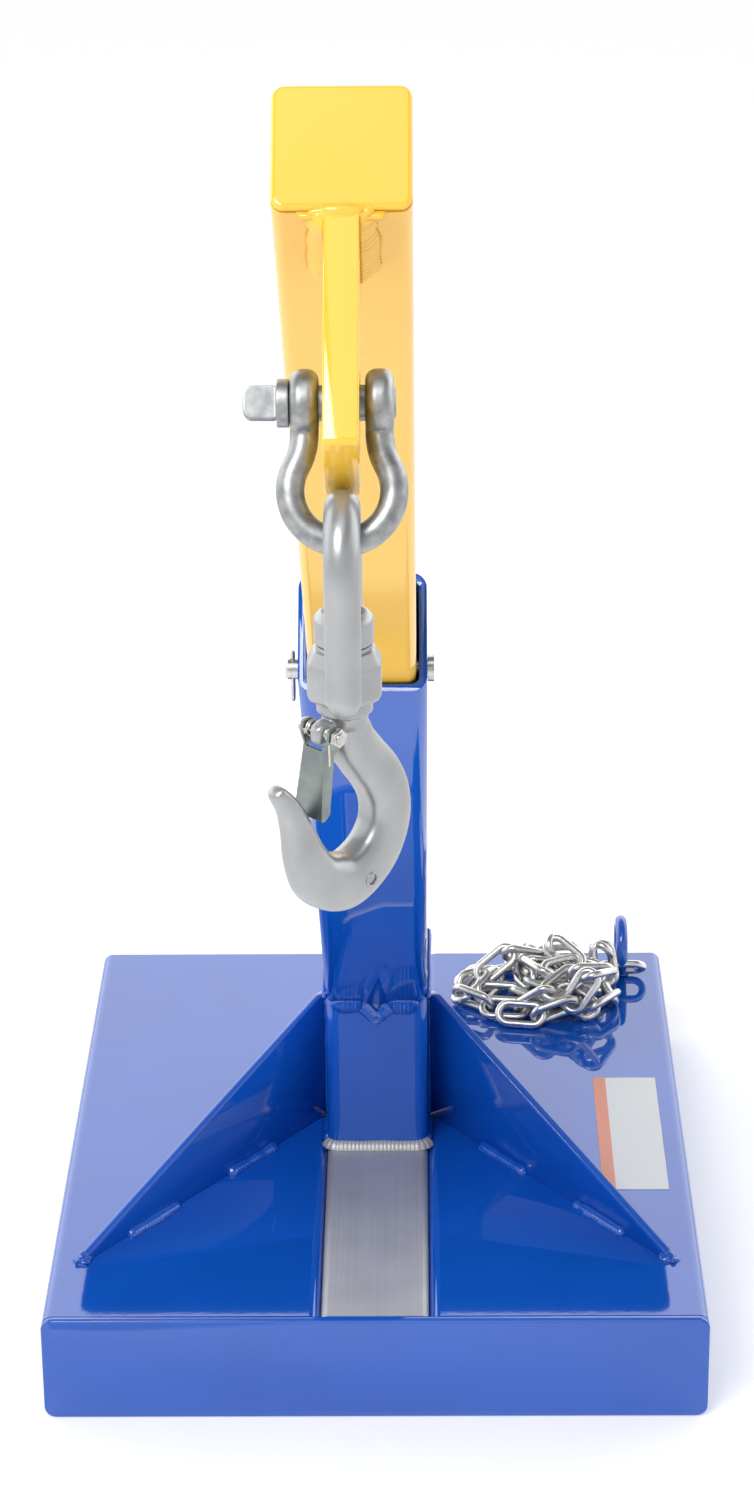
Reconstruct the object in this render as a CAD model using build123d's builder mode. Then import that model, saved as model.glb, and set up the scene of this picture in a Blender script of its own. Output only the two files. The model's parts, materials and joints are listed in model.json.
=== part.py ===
from build123d import *
import math
import os

# Fork-mounted hoist boom. Millimetres, +Z up, the boom reaches forward along -Y.
# Origin: centre of the underside of the base.

# ---- driving dimensions ----
base_width = 470.0
base_depth = 566.0
base_height = 80.0
pocket_wall = 6.35
pocket_corner = 8.0
centre_tube_corner = 5.0
front_plate_thickness = 6.35

post_size = 76.2
post_wall = 4.76
post_corner = 9.5
post_centre_y = -4.0

mast_angle = 45.0
mitre_height = 219.4
mast_reach = 632.0
lock_hole_reach = 576.0
notch_width = 20.0
notch_depth = 14.0

boom_size = 63.5
boom_wall = 4.76
boom_corner = 6.0
boom_front_reach = 1183.0
boom_length = 957.0
boom_cap_thickness = 4.76
boom_hole_pitch = 50.8
boom_hole_count = 7

gusset_thickness = 6.35
gusset_foot_inner = (38.1, 11.0)
gusset_foot_outer = (208.0, -204.0)
gusset_height = 105.0
gusset_tip_height = 6.0
gusset_flat = 9.0

lug_thickness = 16.0
lug_length = 54.0
lug_drop = 116.0
lug_hole = 17.5
lug_hole_above_foot = 33.0
lug_foot_round = 3.0

lock_pin_diameter = 12.7
lock_hole_diameter = 13.5
lock_pin_head = 16.0
lock_pin_left = -47.3
lock_pin_right = 42.4
cotter_wire = 2.4
cotter_x = -43.2

shackle_bar = 12.7
shackle_pin_diameter = 15.9
shackle_inside_width = 20.6
shackle_bow_radius = 23.0
shackle_bow_drop = 62.05
shackle_ear = 30.2
shackle_swing_rest = 27.0

eye_bar = 16.5
eye_inner_radius = 14.2
eye_gap = 0.3
hub_diameter = 35.0
hub_height = 24.5
hub_top_drop = 49.3
shank_diameter = 16.0
nut_diameter = 27.0
nut_height = 14.5
washer_thickness = 2.0

hook_turn = 45.0
hook_collar_diameter = 25.6
hook_collar_height = 6.0
hook_neck_diameter = 21.6
latch_pivot = (-14.5, -12.5)
latch_heading = -97.0
latch_width = 18.5
latch_sheet = 1.5
latch_length = 40.0
latch_pin_diameter = 5.0

ring_bar = 9.5
ring_x = 200.0
ring_y = 250.0
ring_outer = 49.0
chain_wire = 5.0
chain_inner_length = 31.0
chain_outer_width = 20.5

label_width = 49.0
label_length = 171.0
label_centre = (193.0, -20.5)
label_thickness = 0.4

os.makedirs("parts", exist_ok=True)


def finish(piece, name):
    """Label a finished piece and write its STEP file."""
    piece.part.label = name
    export_step(piece.part, f"parts/{name}.step")


# ---- base: two fork pockets either side of a centre tube, closed by a front plate ----
half_depth = base_depth / 2
pocket_width = (base_width - post_size) / 2
pocket_centre_x = (post_size + pocket_width) / 2
tube_depth = base_depth - front_plate_thickness
rear_plane = Plane.XZ.offset(-half_depth)
half_height = base_height / 2

with BuildPart() as fork_pocket_right:
    with BuildSketch(rear_plane):
        with Locations((pocket_centre_x, half_height)):
            RectangleRounded(pocket_width, base_height, pocket_corner)
            RectangleRounded(
                pocket_width - 2 * pocket_wall,
                base_height - 2 * pocket_wall,
                pocket_corner - pocket_wall,
                mode=Mode.SUBTRACT,
            )
    extrude(amount=tube_depth)
finish(fork_pocket_right, "fork_pocket_right")

with BuildPart() as fork_pocket_left:
    mirror(fork_pocket_right.part, about=Plane.YZ)
finish(fork_pocket_left, "fork_pocket_left")

with BuildPart() as centre_tube:
    with BuildSketch(rear_plane):
        with Locations((0, half_height)):
            RectangleRounded(post_size, base_height, centre_tube_corner)
            Rectangle(post_size - 2 * post_wall, base_height - 2 * post_wall, mode=Mode.SUBTRACT)
    extrude(amount=tube_depth)
finish(centre_tube, "centre_tube")

with BuildPart() as front_plate:
    with BuildSketch(Plane.XZ.offset(half_depth - front_plate_thickness)):
        with Locations((0, half_height)):
            RectangleRounded(base_width, base_height, pocket_corner)
    extrude(amount=front_plate_thickness)
finish(front_plate, "front_plate")

# ---- post and mast: one tube size, joined by a 22.5 degree mitre ----
lean = math.radians(mast_angle)
along_y = -math.cos(lean)
along_z = math.sin(lean)
mitre_point = Vector(0, post_centre_y, mitre_height)
mast_plane = Plane(origin=mitre_point, x_dir=(1, 0, 0), z_dir=(0, along_y, along_z))
half_turn = lean / 2
mitre_plane = Plane(
    origin=mitre_point, x_dir=(1, 0, 0), z_dir=(0, -math.sin(half_turn), math.cos(half_turn))
)
post_front_y = post_centre_y - post_size / 2
seam_front_z = mitre_height - post_size / 2 * math.tan(half_turn)


def tube_section(outer, wall, corner):
    """Draw a rounded square tube in the sketch that is being built."""
    RectangleRounded(outer, outer, corner)
    RectangleRounded(outer - 2 * wall, outer - 2 * wall, corner - wall, mode=Mode.SUBTRACT)


with BuildPart() as post_tube:
    with BuildSketch(Plane.XY.offset(base_height)):
        with Locations((0, post_centre_y)):
            tube_section(post_size, post_wall, post_corner)
    extrude(amount=mitre_height - base_height + post_size)
    split(bisect_by=mitre_plane, keep=Keep.BOTTOM)
    with BuildSketch(Plane.XZ.offset(-post_front_y - 2 * post_wall)):
        with BuildLine():
            Polyline(
                (-notch_width / 2, seam_front_z + 5.0),
                (0, seam_front_z - notch_depth),
                (notch_width / 2, seam_front_z + 5.0),
                close=True,
            )
        make_face()
    extrude(amount=3 * post_wall, mode=Mode.SUBTRACT)
finish(post_tube, "post_tube")

with BuildPart() as mast_tube:
    with BuildSketch(mast_plane.offset(-post_size)):
        tube_section(post_size, post_wall, post_corner)
    extrude(amount=mast_reach + post_size)
    split(bisect_by=mitre_plane, keep=Keep.TOP)
    lock_centre = mast_plane.from_local_coords(Vector(0, 0, lock_hole_reach))
    with BuildSketch(Plane(origin=lock_centre, z_dir=(1, 0, 0))):
        Circle(lock_hole_diameter / 2)
    extrude(amount=post_size, both=True, mode=Mode.SUBTRACT)
finish(mast_tube, "mast_tube")

# ---- gussets: upright plates from the post's sides to the front corners of the base ----
inner_x, inner_y = gusset_foot_inner
outer_x, outer_y = gusset_foot_outer
gusset_run = math.hypot(outer_x - inner_x, outer_y - inner_y)
gusset_out = Vector((outer_x - inner_x) / gusset_run, (outer_y - inner_y) / gusset_run, 0)
gusset_plane = Plane(
    origin=(inner_x, inner_y, base_height), x_dir=gusset_out, z_dir=gusset_out.cross(Vector(0, 0, 1))
)

with BuildPart() as gusset_right:
    with BuildSketch(gusset_plane):
        with BuildLine():
            Polyline(
                (0, 0),
                (gusset_run, 0),
                (gusset_run, gusset_tip_height),
                (gusset_flat, gusset_height),
                (0, gusset_height),
                close=True,
            )
        make_face()
    extrude(amount=-gusset_thickness)
    with BuildSketch(Plane.XY.offset(base_height)):
        with Locations((0, post_centre_y)):
            Rectangle(post_size, post_size)
    extrude(amount=gusset_height, mode=Mode.SUBTRACT)
finish(gusset_right, "gusset_right")

with BuildPart() as gusset_left:
    mirror(gusset_right.part, about=Plane.YZ)
finish(gusset_left, "gusset_left")

# ---- boom: telescoping tube with a row of lock holes, a welded cap and a lifting lug ----
boom_plane = mast_plane.offset(boom_front_reach)
boom_tube_front = boom_front_reach - boom_cap_thickness

with BuildPart() as boom_tube:
    with BuildSketch(mast_plane.offset(boom_front_reach - boom_length)):
        tube_section(boom_size, boom_wall, boom_corner)
    extrude(amount=boom_length - boom_cap_thickness)
    first_hole = -(boom_hole_count - 1) / 2 * boom_hole_pitch
    hole_reaches = [lock_hole_reach + first_hole + i * boom_hole_pitch for i in range(boom_hole_count)]
    for reach in hole_reaches:
        hole_centre = mast_plane.from_local_coords(Vector(0, 0, reach))
        with BuildSketch(Plane(origin=hole_centre, z_dir=(1, 0, 0))):
            Circle(lock_hole_diameter / 2)
        extrude(amount=boom_size, both=True, mode=Mode.SUBTRACT)
finish(boom_tube, "boom_tube")

with BuildPart() as boom_end_cap:
    with BuildSketch(mast_plane.offset(boom_tube_front)):
        RectangleRounded(boom_size, boom_size, boom_corner)
    extrude(amount=boom_cap_thickness)
finish(boom_end_cap, "boom_end_cap")

# The lug's own sketch plane: local x runs back along the boom, local y away from it.
lug_corner = boom_plane.from_local_coords(Vector(0, -boom_size / 2, 0))
boom_back = Vector(0, -along_y, -along_z)
boom_down = Vector(0, -along_z, along_y)
lug_plane = Plane(origin=lug_corner, x_dir=boom_back, z_dir=boom_back.cross(boom_down))
lug_hole_at = (lug_length / 2, lug_drop - lug_hole_above_foot)

with BuildPart() as lifting_lug:
    with BuildSketch(lug_plane):
        with Locations((lug_length / 2, lug_drop / 2)):
            Rectangle(lug_length, lug_drop)
        with Locations(lug_hole_at):
            Circle(lug_hole / 2, mode=Mode.SUBTRACT)
    extrude(amount=lug_thickness / 2, both=True)
    foot_face = lifting_lug.faces().filter_by(GeomType.PLANE).sort_by(Axis((0, 0, 0), boom_down))[-1]
    fillet(foot_face.edges().filter_by(Axis.X), radius=lug_foot_round)
finish(lifting_lug, "lifting_lug")

# ---- lock pin through mast and boom, held by a hairpin cotter ----
lock_y = lock_centre.Y
lock_z = lock_centre.Z

with BuildPart() as lock_pin:
    with BuildSketch(Plane.YZ.offset(lock_pin_left)):
        with Locations((lock_y, lock_z)):
            Circle(lock_pin_diameter / 2)
    extrude(amount=post_size / 2 + 0.4 - lock_pin_left)
    chamfer(lock_pin.faces().sort_by(Axis.X)[0].edges(), length=1.2)
    with BuildSketch(Plane.YZ.offset(post_size / 2 + 0.4)):
        with Locations((lock_y, lock_z)):
            Circle(lock_pin_head / 2)
    extrude(amount=lock_pin_right - post_size / 2 - 0.4)
    with BuildSketch(Plane.XY.offset(lock_z)):
        with Locations((cotter_x, lock_y)):
            Circle(cotter_wire / 2 + 0.3)
    extrude(amount=lock_pin_diameter, both=True, mode=Mode.SUBTRACT)
finish(lock_pin, "lock_pin")

# The hairpin lies in a Y-Z plane: straight leg through the pin, a return bend below,
# and a bowed leg that springs against the outside of the pin.
cotter_leg_top = 12.0
cotter_leg_foot = -21.6
bend_width = 9.2
bend_round = 4.4
flare_width = 2.0
flare_height = 7.0
bow_offset = lock_pin_diameter / 2 + cotter_wire / 2 + 0.3
hairpin_plane = Plane(origin=(cotter_x, lock_y, lock_z), x_dir=(0, 1, 0), z_dir=(1, 0, 0))

with BuildPart() as hairpin_cotter:
    with BuildLine(hairpin_plane) as hairpin_path:
        FilletPolyline(
            (0, cotter_leg_top),
            (0, cotter_leg_foot),
            (bend_width, cotter_leg_foot),
            (bow_offset, 0),
            (bow_offset + flare_width, flare_height),
            radius=[bend_round, bend_round, 10.0],
        )
    hairpin_wire = hairpin_path.wires()[0]
    with BuildSketch(Plane(origin=hairpin_wire @ 0, z_dir=hairpin_wire % 0)):
        Circle(cotter_wire / 2)
    sweep(path=hairpin_wire)
finish(hairpin_cotter, "hairpin_cotter")

# ---- anchor shackle: bow, ears and screw pin, swung forward off the lug's foot ----
shackle_centre = lug_plane.from_local_coords(Vector(lug_hole_at[0], lug_hole_at[1], 0))
swing = math.radians(shackle_swing_rest)
shackle_down = Vector(0, -math.sin(swing), -math.cos(swing))
shackle_plane = Plane(origin=shackle_centre, x_dir=(1, 0, 0), z_dir=Vector(1, 0, 0).cross(-shackle_down))
ear_x = (shackle_inside_width + shackle_bar) / 2
bow_centre_drop = shackle_bow_drop - shackle_bow_radius
leg_drop = 14.0
# The neck arc touches the straight leg and the bow from outside.
neck_gap = bow_centre_drop - leg_drop
neck_radius = (ear_x**2 + neck_gap**2 - shackle_bow_radius**2) / (2 * (shackle_bow_radius - ear_x))
neck_reach = shackle_bow_radius + neck_radius
touch_x = shackle_bow_radius * (ear_x + neck_radius) / neck_reach
touch_y = -bow_centre_drop + shackle_bow_radius * neck_gap / neck_reach
neck_turn = math.atan2(neck_gap, ear_x + neck_radius) / 2
neck_mid_x = ear_x + neck_radius * (1 - math.cos(neck_turn))
neck_mid_y = -leg_drop - neck_radius * math.sin(neck_turn)

with BuildPart() as shackle_bow:
    with BuildLine(shackle_plane) as bow_path:
        Line((-ear_x, 0), (-ear_x, -leg_drop))
        ThreePointArc((-ear_x, -leg_drop), (-neck_mid_x, neck_mid_y), (-touch_x, touch_y))
        ThreePointArc((-touch_x, touch_y), (0, -shackle_bow_drop), (touch_x, touch_y))
        ThreePointArc((touch_x, touch_y), (neck_mid_x, neck_mid_y), (ear_x, -leg_drop))
        Line((ear_x, -leg_drop), (ear_x, 0))
    with BuildSketch(Plane(origin=bow_path.wires()[0] @ 0, z_dir=bow_path.wires()[0] % 0)):
        Circle(shackle_bar / 2)
    sweep(path=bow_path.wires()[0])
    for side in (-1, 1):
        with BuildPart(mode=Mode.PRIVATE) as ear:
            ear_plane = Plane(origin=shackle_centre + Vector(side * ear_x, 0, 0), z_dir=(1, 0, 0))
            with BuildSketch(ear_plane):
                Circle(shackle_ear / 2)
            extrude(amount=shackle_bar / 2, both=True)
            fillet(ear.edges().filter_by(GeomType.CIRCLE), radius=5.0)
        add(ear.part)
    with BuildSketch(Plane(origin=shackle_centre, z_dir=(1, 0, 0))):
        Circle(shackle_pin_diameter / 2 + 0.25)
    extrude(amount=2 * shackle_bar + shackle_inside_width, both=True, mode=Mode.SUBTRACT)
finish(shackle_bow, "shackle_bow")

pin_left = -ear_x - shackle_bar / 2 - 0.3
pin_right = ear_x + shackle_bar / 2 + 1.0
collar_length = 5.5
collar_diameter = 21.5
tang_length = 15.0
tang_thickness = 7.0

with BuildPart() as shackle_pin:
    with BuildSketch(Plane(origin=shackle_centre + Vector(pin_left, 0, 0), z_dir=(1, 0, 0))):
        Circle(shackle_pin_diameter / 2)
    extrude(amount=pin_right - pin_left)
    chamfer(shackle_pin.faces().sort_by(Axis.X)[-1].edges(), length=1.5)
    with BuildSketch(Plane(origin=shackle_centre + Vector(pin_left, 0, 0), z_dir=(-1, 0, 0))):
        Circle(collar_diameter / 2)
    extrude(amount=collar_length)
    tang_plane = Plane(
        origin=shackle_centre + Vector(pin_left - collar_length, 0, 0),
        x_dir=(-1, 0, 0),
        z_dir=shackle_plane.z_dir,
    )
    with BuildSketch(tang_plane):
        with Locations((tang_length / 2 - 1.0, 0)):
            RectangleRounded(tang_length + 2.0, tang_length, 4.0)
    extrude(amount=tang_thickness / 2, both=True)
finish(shackle_pin, "shackle_pin")

# ---- swivel eye: a round-bar bail in the Y-Z plane rising from a drilled hub ----
bow_bottom = shackle_centre + shackle_down * shackle_bow_drop
arch_radius = eye_inner_radius + eye_bar / 2
arch_z = bow_bottom.Z + shackle_bar / 2 + eye_gap - eye_inner_radius
hub_top = bow_bottom.Z - hub_top_drop
hub_bottom = hub_top - hub_height
swivel_y = bow_bottom.Y

with BuildPart() as swivel_eye:
    with BuildLine(Plane(origin=(0, swivel_y, 0), x_dir=(0, 1, 0), z_dir=(1, 0, 0))) as bail_path:
        Line((-arch_radius, hub_bottom + hub_height / 2), (-arch_radius, arch_z))
        ThreePointArc((-arch_radius, arch_z), (0, arch_z + arch_radius), (arch_radius, arch_z))
        Line((arch_radius, arch_z), (arch_radius, hub_bottom + hub_height / 2))
    with BuildSketch(Plane(origin=bail_path.wires()[0] @ 0, z_dir=bail_path.wires()[0] % 0)):
        Circle(eye_bar / 2)
    sweep(path=bail_path.wires()[0])
    with BuildSketch(Plane.XY.offset(hub_bottom)):
        with Locations((0, swivel_y)):
            Circle(hub_diameter / 2)
            Rectangle(eye_bar, 2 * arch_radius)
        with Locations((0, swivel_y - arch_radius), (0, swivel_y + arch_radius)):
            Circle(eye_bar / 2)
    extrude(amount=hub_height)
    with BuildSketch(Plane.XY.offset(hub_bottom)):
        with Locations((0, swivel_y)):
            Circle(shank_diameter / 2 + 0.3)
    extrude(amount=hub_height, mode=Mode.SUBTRACT)
finish(swivel_eye, "swivel_eye")

with BuildPart() as thrust_washer:
    with BuildSketch(Plane.XY.offset(hub_top)):
        with Locations((0, swivel_y)):
            Circle(nut_diameter / 2 - 0.6)
            Circle(shank_diameter / 2 + 0.3, mode=Mode.SUBTRACT)
    extrude(amount=washer_thickness)
finish(thrust_washer, "thrust_washer")

nut_bottom = hub_top + washer_thickness + 0.3
with BuildPart() as shank_nut:
    with BuildSketch(Plane.XY.offset(nut_bottom)):
        with Locations((0, swivel_y)):
            Circle(nut_diameter / 2)
            Circle(shank_diameter / 2, mode=Mode.SUBTRACT)
    extrude(amount=nut_height)
    chamfer(shank_nut.faces().sort_by(Axis.Z)[-1].edges().sort_by(SortBy.LENGTH)[-1], length=2.5)
finish(shank_nut, "shank_nut")

# ---- hook: shank, collar and a forged body lofted through sections round the throat ----
# Hook frame: u across the hook (throat side negative), w up from the hub's underside.
turn = math.radians(hook_turn)
hook_across = Vector(math.cos(turn), math.sin(turn), 0)
hook_origin = Vector(0, swivel_y, hub_bottom)
hook_plane = Plane(origin=hook_origin, x_dir=hook_across, z_dir=hook_across.cross(Vector(0, 0, 1)))
hook_neck_end = 16.0
ear_height = 13.0
ear_thickness = 9.0

# Each station: u, w, heading of the bar in degrees (0 = +u), depth in plane, thickness.
hook_stations = [
    (0.0, -14.0, -85.0, 21.4, 21.4),
    (4.0, -23.0, -57.0, 22.5, 21.0),
    (11.5, -32.5, -50.0, 23.5, 20.5),
    (19.0, -43.0, -61.0, 24.0, 20.0),
    (24.3, -55.0, -78.0, 24.5, 20.0),
    (24.0, -69.0, -103.0, 25.5, 20.0),
    (15.0, -83.0, -139.0, 27.0, 20.5),
    (-2.0, -90.5, -176.0, 28.0, 21.0),
    (-19.0, -83.5, -224.0, 25.0, 20.0),
    (-27.0, -70.0, -251.0, 20.0, 18.0),
    (-31.5, -55.0, -250.0, 14.5, 14.5),
    (-37.0, -43.0, -240.0, 10.5, 12.0),
    (-43.5, -33.0, -235.0, 7.0, 9.5),
]


def hook_point(u, w):
    """Point of the hook's middle plane."""
    return hook_plane.from_local_coords(Vector(u, w, 0))


def hook_direction(heading):
    """Unit vector in the hook's middle plane."""
    angle = math.radians(heading)
    return hook_plane.x_dir * math.cos(angle) + hook_plane.y_dir * math.sin(angle)


with BuildPart() as hook:
    for u, w, heading, depth, thickness in hook_stations:
        station = Plane(
            origin=hook_point(u, w), x_dir=hook_plane.z_dir, z_dir=hook_direction(heading)
        )
        with BuildSketch(station):
            Ellipse(thickness / 2, depth / 2)
    loft()
    with BuildSketch(Plane.XY.offset(hub_bottom - hook_neck_end)):
        with Locations((0, swivel_y)):
            Circle(hook_neck_diameter / 2)
    extrude(amount=hook_neck_end - hook_collar_height)
    with BuildSketch(Plane.XY.offset(hub_bottom - 0.3)):
        with Locations((0, swivel_y)):
            Circle(hook_collar_diameter / 2)
    extrude(amount=-hook_collar_height)
    with BuildSketch(Plane.XY.offset(hub_bottom - 1.0)):
        with Locations((0, swivel_y)):
            Circle(shank_diameter / 2)
    extrude(amount=nut_bottom + nut_height + 1.0 - hub_bottom)
    with BuildSketch(hook_plane):
        with Locations((latch_pivot[0] / 2 + 1.0, latch_pivot[1] - 2.0)):
            Rectangle(-latch_pivot[0] + 2.0, ear_height)
        with Locations(latch_pivot):
            Circle(ear_height / 3)
    extrude(amount=ear_thickness / 2, both=True)
    with BuildSketch(hook_plane):
        with Locations(latch_pivot):
            Circle(latch_pin_diameter / 2 + 0.1)
    extrude(amount=latch_width, both=True, mode=Mode.SUBTRACT)
finish(hook, "hook")

# ---- latch: folded sheet channel on a riveted pin, pressed against the hook's point ----
# Latch frame: a along the latch from its pivot, b towards the inside of the throat.
pivot_point = hook_point(*latch_pivot)
latch_along = hook_direction(latch_heading)
latch_plane = Plane(origin=pivot_point, x_dir=latch_along, z_dir=hook_plane.z_dir)
web_offset = -4.6
flange_depth = 5.0
pivot_boss = 4.6
inner_width = latch_width - 2 * latch_sheet

with BuildPart() as latch:
    with BuildSketch(latch_plane):
        with BuildLine():
            Polyline(
                (0, web_offset),
                (latch_length, web_offset),
                (latch_length, web_offset + 2.0),
                (latch_length - 3.0, web_offset + flange_depth),
                (9.0, web_offset + flange_depth),
                (4.0, pivot_boss),
                (-3.0, pivot_boss),
                (-pivot_boss, 0),
                (-3.0, -pivot_boss),
                close=True,
            )
        make_face()
        Circle(latch_pin_diameter / 2 + 0.1, mode=Mode.SUBTRACT)
    extrude(amount=latch_width / 2, both=True)
    with BuildSketch(latch_plane):
        with Locations((latch_length / 2, web_offset + latch_sheet + latch_width / 2)):
            Rectangle(2 * latch_length, latch_width)
    extrude(amount=inner_width / 2, both=True, mode=Mode.SUBTRACT)
    with BuildSketch(latch_plane):
        with Locations((0, web_offset)):
            Rectangle(14.0, latch_width)
    extrude(amount=inner_width / 2, both=True, mode=Mode.SUBTRACT)
finish(latch, "latch")

pin_half = latch_width / 2 + 0.4
with BuildPart() as latch_pin:
    with BuildSketch(latch_plane.offset(-pin_half)):
        Circle(latch_pin_diameter / 2)
    extrude(amount=2 * pin_half + 3.2)
    with BuildSketch(latch_plane.offset(-pin_half)):
        Circle(4.0)
    extrude(amount=-2.6)
    head_face = latch_pin.faces().sort_by(Axis(pivot_point, hook_plane.z_dir))[0]
    fillet(head_face.edges(), radius=1.8)
finish(latch_pin, "latch_pin")

with BuildPart() as latch_nut:
    with BuildSketch(latch_plane.offset(pin_half)):
        RegularPolygon(4.4, 6)
        Circle(latch_pin_diameter / 2, mode=Mode.SUBTRACT)
    extrude(amount=2.6)
finish(latch_nut, "latch_nut")

# Torsion spring: two coil packs either side of the hook's ear, each with a leg on the web.
spring_wire = 1.3
spring_radius = latch_pin_diameter / 2 + spring_wire / 2 + 0.2
spring_leg_tilt = math.radians(8.5)
spring_leg_length = 14.0
coil_start = ear_thickness / 2 + 0.2
coil_length = inner_width / 2 - 0.3 - coil_start
leg_heading = latch_along * math.cos(spring_leg_tilt) + latch_plane.y_dir * math.sin(spring_leg_tilt)

with BuildPart() as latch_spring:
    for side in (-1, 1):
        with BuildSketch(latch_plane.offset(side * coil_start)):
            Circle(spring_radius + spring_wire / 2)
            Circle(spring_radius - spring_wire / 2, mode=Mode.SUBTRACT)
        extrude(amount=side * coil_length)
        leg_start = latch_plane.offset(side * (coil_start + coil_length / 2))
        leg_origin = leg_start.from_local_coords(Vector(0, -spring_radius, 0))
        with BuildSketch(Plane(origin=leg_origin, z_dir=leg_heading)):
            Circle(spring_wire / 2)
        extrude(amount=spring_leg_length)
finish(latch_spring, "latch_spring")

# ---- chain anchor ring, safety chain and label on the base ----
ring_centre_z = base_height + ring_outer / 2
ring_major = (ring_outer - ring_bar) / 2

with BuildPart() as chain_ring:
    with BuildSketch(Plane(origin=(ring_x, ring_y + ring_major, ring_centre_z), z_dir=(0, 0, 1))):
        Circle(ring_bar / 2)
    revolve(axis=Axis((ring_x, ring_y, ring_centre_z), (1, 0, 0)), revolution_arc=360)
finish(chain_ring, "chain_ring")

# The chain lies in two layers of loose folds; its first link hangs on the ring.
chain_step = 29.0
chain_low = base_height + 8.4
chain_high = chain_low + 18.8
ring_hang = ring_major * math.sin(math.radians(45))
first_link_y = ring_y - ring_hang
first_link_z = ring_centre_z - ring_hang
chain_route = [
    (ring_x + 17, first_link_y, first_link_z),
    (ring_x - 22, first_link_y, first_link_z),
    (150, 264, chain_low),
    (58, 266, chain_low),
    (54, 202, chain_low),
    (202, 204, chain_low),
    (206, 141, chain_low),
    (92, 141, chain_low),
    (54, 162, chain_low + 9.0),
    (54, 220, chain_high),
    (58, 266, chain_high),
    (120, 266, chain_high),
    (116, 146, chain_high),
    (184, 146, chain_high),
    (178, 228, chain_high),
]
fold_radii = [40.0, 46.0, 31.0, 31.0, 31.0, 31.0, 34.0, 30.0, 60.0, 30.0, 30.0, 33.0, 33.0]

with BuildLine() as route_line:
    FilletPolyline(*chain_route, radius=fold_radii)
route_wire = route_line.wires()[0]
link_count = int(route_wire.length / chain_step)
end_bar = chain_inner_length / 2 + chain_wire / 2
side_bar = (chain_outer_width - chain_wire) / 2
straight_half = end_bar - side_bar

with BuildPart() as link_shape:
    with BuildLine() as link_line:
        Line((-straight_half, side_bar), (straight_half, side_bar))
        RadiusArc((straight_half, side_bar), (straight_half, -side_bar), side_bar)
        Line((straight_half, -side_bar), (-straight_half, -side_bar))
        RadiusArc((-straight_half, -side_bar), (-straight_half, side_bar), side_bar)
    with BuildSketch(Plane(origin=(0, side_bar, 0), z_dir=(1, 0, 0))):
        Circle(chain_wire / 2)
    sweep(path=link_line.wires()[0])

with BuildPart() as safety_chain:
    for i in range(link_count):
        link_start = route_wire.position_at(i * chain_step, position_mode=PositionMode.LENGTH)
        link_end = route_wire.position_at((i + 1) * chain_step, position_mode=PositionMode.LENGTH)
        link_axis = (link_end - link_start).normalized()
        level = Vector(0, 0, 1).cross(link_axis).normalized()
        upward = link_axis.cross(level)
        tilt = level + upward if i % 2 == 0 else level - upward
        middle = (link_start + link_end) * 0.5
        link_plane = Plane(origin=middle, x_dir=link_axis, z_dir=tilt)
        add(link_plane.location * link_shape.part)
print("chain links", link_count, "route length", round(route_wire.length))
finish(safety_chain, "safety_chain")

with BuildPart() as label_sticker:
    with BuildSketch(Plane.XY.offset(base_height)):
        with Locations(label_centre):
            Rectangle(label_width, label_length)
    extrude(amount=label_thickness)
finish(label_sticker, "label_sticker")
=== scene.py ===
import json

import bmesh
import bpy
import numpy as np
from mathutils import Matrix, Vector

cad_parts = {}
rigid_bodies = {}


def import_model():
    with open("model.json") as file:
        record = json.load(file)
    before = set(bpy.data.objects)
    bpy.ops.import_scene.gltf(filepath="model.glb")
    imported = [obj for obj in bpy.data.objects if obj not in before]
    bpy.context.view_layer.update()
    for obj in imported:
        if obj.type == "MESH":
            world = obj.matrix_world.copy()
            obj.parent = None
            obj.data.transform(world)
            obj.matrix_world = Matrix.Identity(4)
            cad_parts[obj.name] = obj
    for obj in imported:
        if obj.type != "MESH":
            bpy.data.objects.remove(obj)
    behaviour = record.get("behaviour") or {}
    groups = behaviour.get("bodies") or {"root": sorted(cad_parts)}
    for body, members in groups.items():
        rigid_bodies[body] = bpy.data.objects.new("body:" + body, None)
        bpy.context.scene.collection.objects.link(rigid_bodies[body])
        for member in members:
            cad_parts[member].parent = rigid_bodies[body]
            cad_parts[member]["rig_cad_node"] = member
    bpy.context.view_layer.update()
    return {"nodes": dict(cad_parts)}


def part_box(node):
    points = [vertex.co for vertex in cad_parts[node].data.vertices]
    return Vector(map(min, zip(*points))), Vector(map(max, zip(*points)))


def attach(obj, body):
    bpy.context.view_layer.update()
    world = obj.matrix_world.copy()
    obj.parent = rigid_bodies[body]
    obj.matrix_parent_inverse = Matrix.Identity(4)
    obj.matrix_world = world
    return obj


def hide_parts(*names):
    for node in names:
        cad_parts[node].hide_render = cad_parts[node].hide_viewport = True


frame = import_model()
nodes = frame["nodes"]

# ---- viewpoint ----
# A long lens a little above the boom's end, looking down along the base.
viewpoint = np.array([0.0341, -2.4040, 1.4466])
pitch, yaw, roll = np.radians([23.68, -0.77, -0.58])
ahead = np.array([np.sin(yaw) * np.cos(pitch), np.cos(yaw) * np.cos(pitch), -np.sin(pitch)])
level = np.array([np.cos(yaw), -np.sin(yaw), 0.0])
upward = np.cross(level, ahead)
across = level * np.cos(roll) + upward * np.sin(roll)
above = upward * np.cos(roll) - level * np.sin(roll)

lens = bpy.data.cameras.new("viewpoint")
lens.sensor_width = 36.0
lens.lens = 85.4
lens.clip_end = 60.0
camera = bpy.data.objects.new("viewpoint", lens)
bpy.context.scene.collection.objects.link(camera)
turned = np.eye(4)
turned[:3, :3] = np.column_stack([across, above, -ahead])
turned[:3, 3] = viewpoint
camera.matrix_world = Matrix(turned.tolist())
bpy.context.scene.camera = camera


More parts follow.
